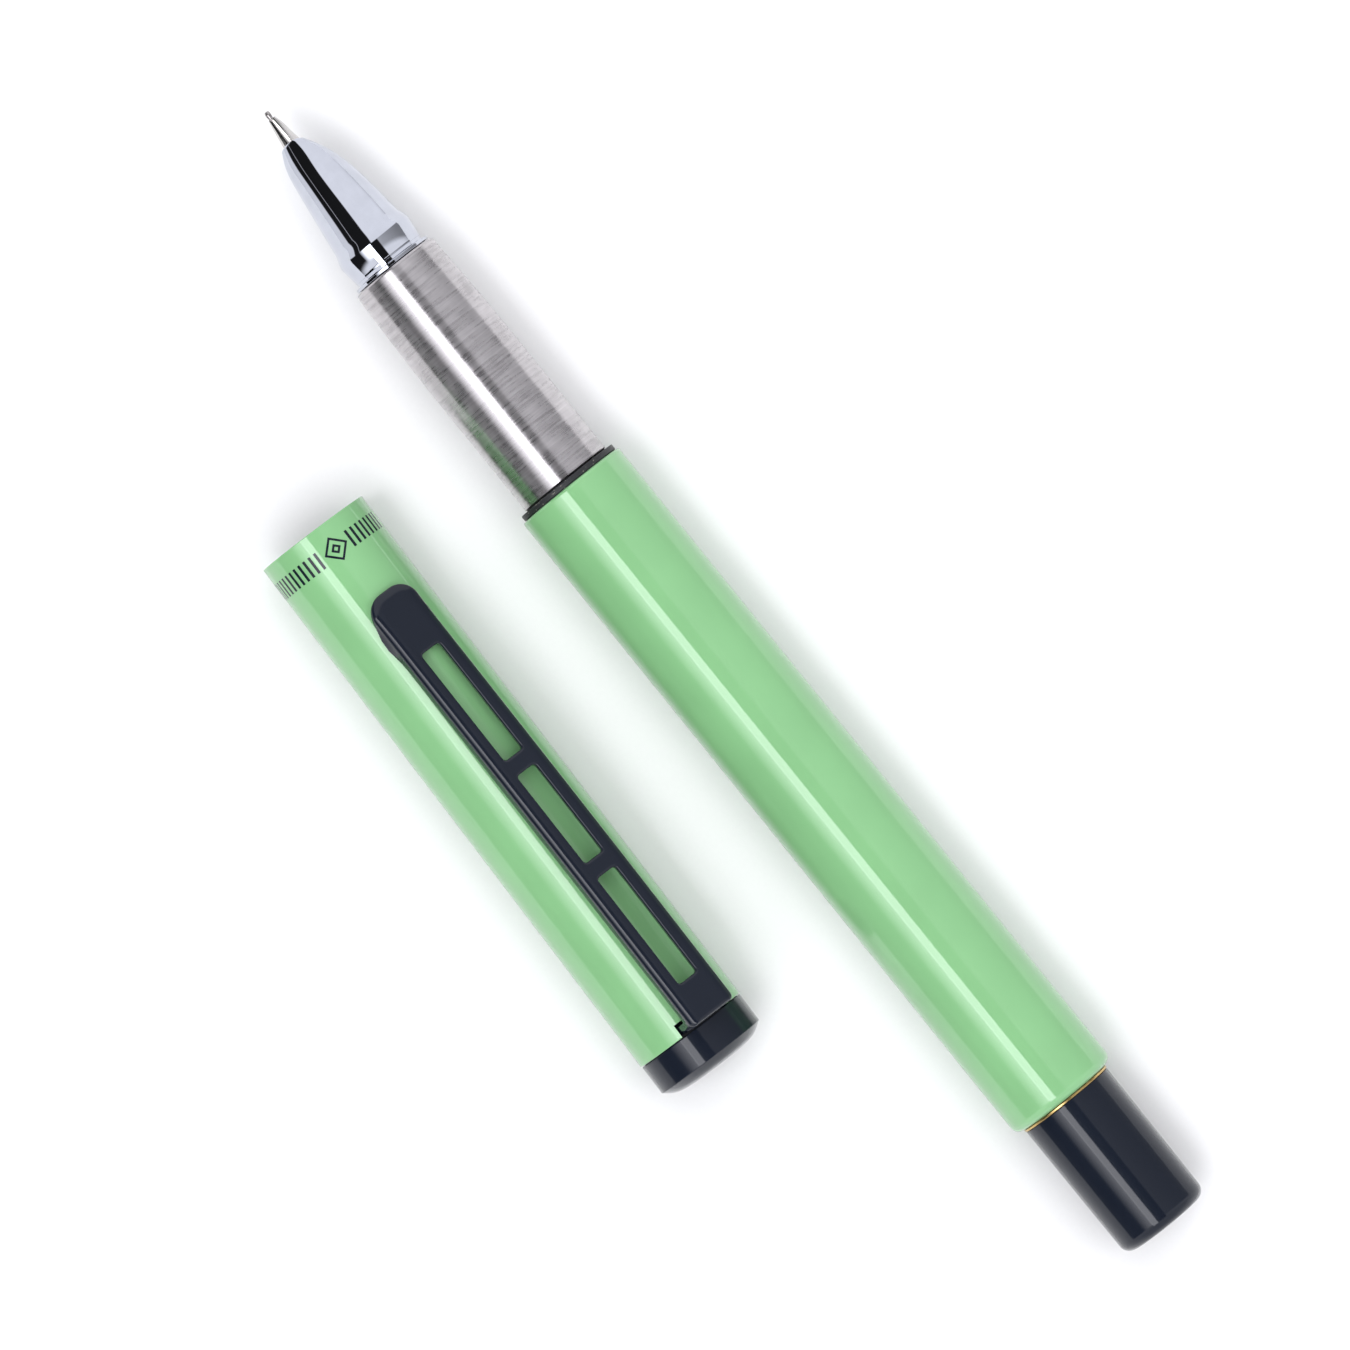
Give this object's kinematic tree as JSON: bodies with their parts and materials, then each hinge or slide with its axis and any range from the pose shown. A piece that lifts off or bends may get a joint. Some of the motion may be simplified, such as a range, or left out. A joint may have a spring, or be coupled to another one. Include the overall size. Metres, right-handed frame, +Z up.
{
  "type": "fountain pen",
  "caption": "Slip-cap fountain pen with a semi-hooded nib, metal grip, lacquered barrel and piston converter, lying beside its cap with a windowed clip.",
  "frame": {"origin": "middle of the underside of the pen and cap as they lie on a table", "axes": "+X along the pen from the nib to the tail, +Y from the cap towards the pen, +Z up"},
  "size_m": [0.1238, 0.0322, 0.0141],
  "materials": {
    "green_lacquer": "gloss",
    "black_lacquer": "gloss",
    "chrome": "polished",
    "brushed_steel": "satin",
    "nib_steel": "polished",
    "hard_metal": "polished",
    "brass": "satin",
    "black_plastic": "gloss",
    "grey_plastic": "satin",
    "clear_plastic": "gloss",
    "black_rubber": "matte",
    "speckled_black": "satin"
  },
  "bodies": {
    "barrel": {"barrel_tube": "green_lacquer", "barrel_thread_bush": "brass", "tail_trim_ring": "brass", "tail_plug": "black_lacquer", "tail_lock_ring": "brass"},
    "joint_ring": {"joint_ring": "speckled_black"},
    "thread_seal": {"section_o_ring": "black_rubber"},
    "front": {"nib": "nib_steel", "nib_tipping": "hard_metal", "feed": "black_plastic", "feed_collector": "black_plastic", "hood": "chrome", "hood_ring": "chrome", "hood_seal": "black_rubber", "grip_sleeve": "brushed_steel", "section_core": "grey_plastic"},
    "converter": {"converter_tube": "clear_plastic", "converter_collar": "chrome", "converter_end_bush": "grey_plastic"},
    "converter_drive": {"converter_knob": "black_plastic", "converter_spindle": "brushed_steel"},
    "piston": {"converter_piston_rod": "grey_plastic", "converter_piston_seal": "black_rubber"},
    "agitator": {"agitator_ball": "hard_metal"},
    "cap": {"cap_tube": "green_lacquer", "cap_liner": "black_plastic", "inner_cap": "black_plastic", "clip_bracket": "brushed_steel", "finial": "black_lacquer", "finial_screw": "brass"},
    "clip": {"clip": "black_lacquer"}
  },
  "joints": [
    {"name": "front_withdraw", "type": "slide", "parent": "barrel", "child": "joint_ring", "axis": [-1, 0, 0], "range_m": [0, 0.06]},
    {"name": "thread_travel", "type": "slide", "parent": "joint_ring", "child": "thread_seal", "axis": [-1, 0, 0], "range_m": [0, 0.0048]},
    {"name": "front_unscrew", "type": "hinge", "parent": "thread_seal", "child": "front", "pos_m": [-0.01745, 0.01077, 0.0053], "axis": [-1, 0, 0], "range_deg": [0, 2160]},
    {"name": "converter_pull", "type": "slide", "parent": "front", "child": "converter", "axis": [1, 0, 0], "range_m": [0, 0.008]},
    {"name": "knob_turn", "type": "hinge", "parent": "converter", "child": "converter_drive", "pos_m": [0.02915, 0.01077, 0.0053], "axis": [1, 0, 0], "range_deg": [0, 1620]},
    {"name": "piston_slide", "type": "slide", "parent": "converter", "child": "piston", "axis": [-1, 0, 0], "range_m": [0, 0.018]},
    {"name": "ball_roll", "type": "slide", "parent": "converter", "child": "agitator", "axis": [1, 0, 0], "range_m": [-0.0009, 0.0006]},
    {"name": "cap_slide", "type": "slide", "parent": "barrel", "child": "cap", "axis": [0.9996, -0.0288, 0], "range_m": [0, 0.042]},
    {"name": "clip_flex", "type": "hinge", "parent": "cap", "child": "clip", "pos_m": [0.0223, -0.00917, 0.00979], "axis": [0.0272, 0.9451, -0.3256], "range_deg": [0, 4], "stiffness_Nm_per_rad": 2}
  ],
  "couplings": [
    {"joint": "front_unscrew", "follows": "thread_travel", "rad_per_m": 7854},
    {"joint": "knob_turn", "follows": "piston_slide", "rad_per_m": 1570.8}
  ]
}
